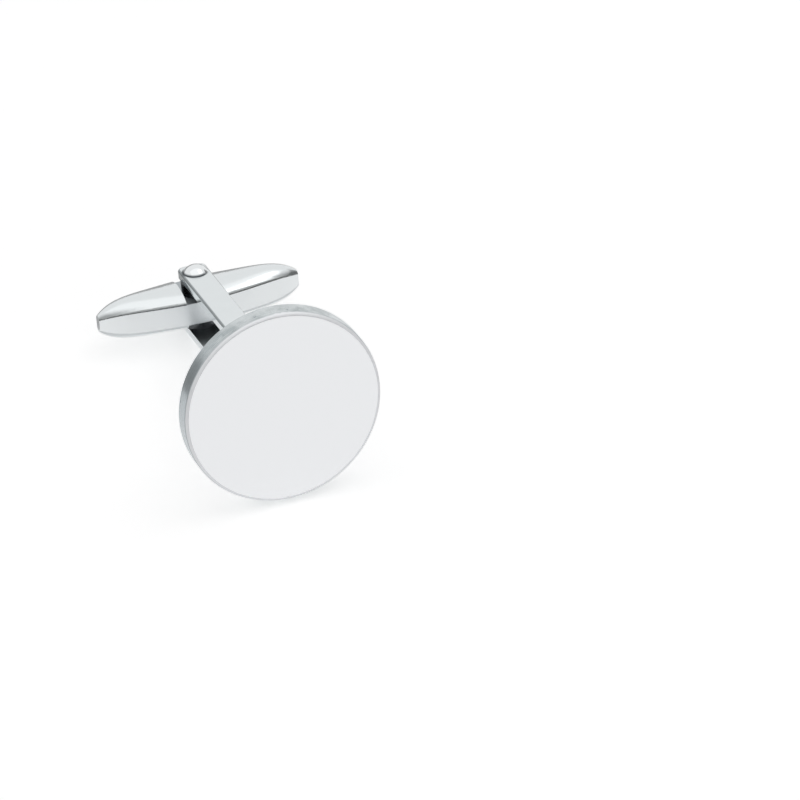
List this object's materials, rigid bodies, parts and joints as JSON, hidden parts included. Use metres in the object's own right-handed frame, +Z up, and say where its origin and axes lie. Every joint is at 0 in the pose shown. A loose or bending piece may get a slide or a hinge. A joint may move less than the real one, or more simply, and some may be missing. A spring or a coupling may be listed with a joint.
{
  "type": "cufflink",
  "caption": "Round cufflink: a polished flat disc on a two-armed post, with a torpedo toggle that swivels on a rivet to pass the cuff's buttonholes and lock across them.",
  "frame": {"origin": "on the table under the middle of the part's bounding box, the part lying on the disc's rim and the end of the lower arm", "axes": "+Z up from the table, +X along the toggle, +Y from the disc towards the toggle, so the disc's face looks towards -Y and a little upwards"},
  "size_m": [0.0164, 0.0244, 0.0158],
  "materials": {
    "disc_metal": "polished, fine satin haze on the face, duller rim",
    "stirrup_metal": "polished, with dull stamped edges and tarnish inside the fork",
    "rivet_metal": "burnished dome",
    "toggle_metal": "polished band and buffed crowns, unpolished dark slots",
    "sleeve_steel": "turned",
    "washer_steel": "turned and darkened",
    "spring_steel": "tempered strip"
  },
  "bodies": {
    "post": {"face_disc": "disc_metal", "stirrup": "stirrup_metal", "pivot_rivet": "rivet_metal", "cam_sleeve": "sleeve_steel", "upper_washer": "washer_steel", "lower_washer": "washer_steel"},
    "toggle": {"toggle_body": "toggle_metal", "toggle_cover": "toggle_metal", "detent_spring": "spring_steel"}
  },
  "joints": [
    {"name": "toggle_swivel", "type": "hinge", "parent": "post", "child": "toggle", "pos_m": [0, 0.0097, 0.00286], "axis": [0, 0.2571, 0.9664], "range_deg": [-90, 90]}
  ]
}
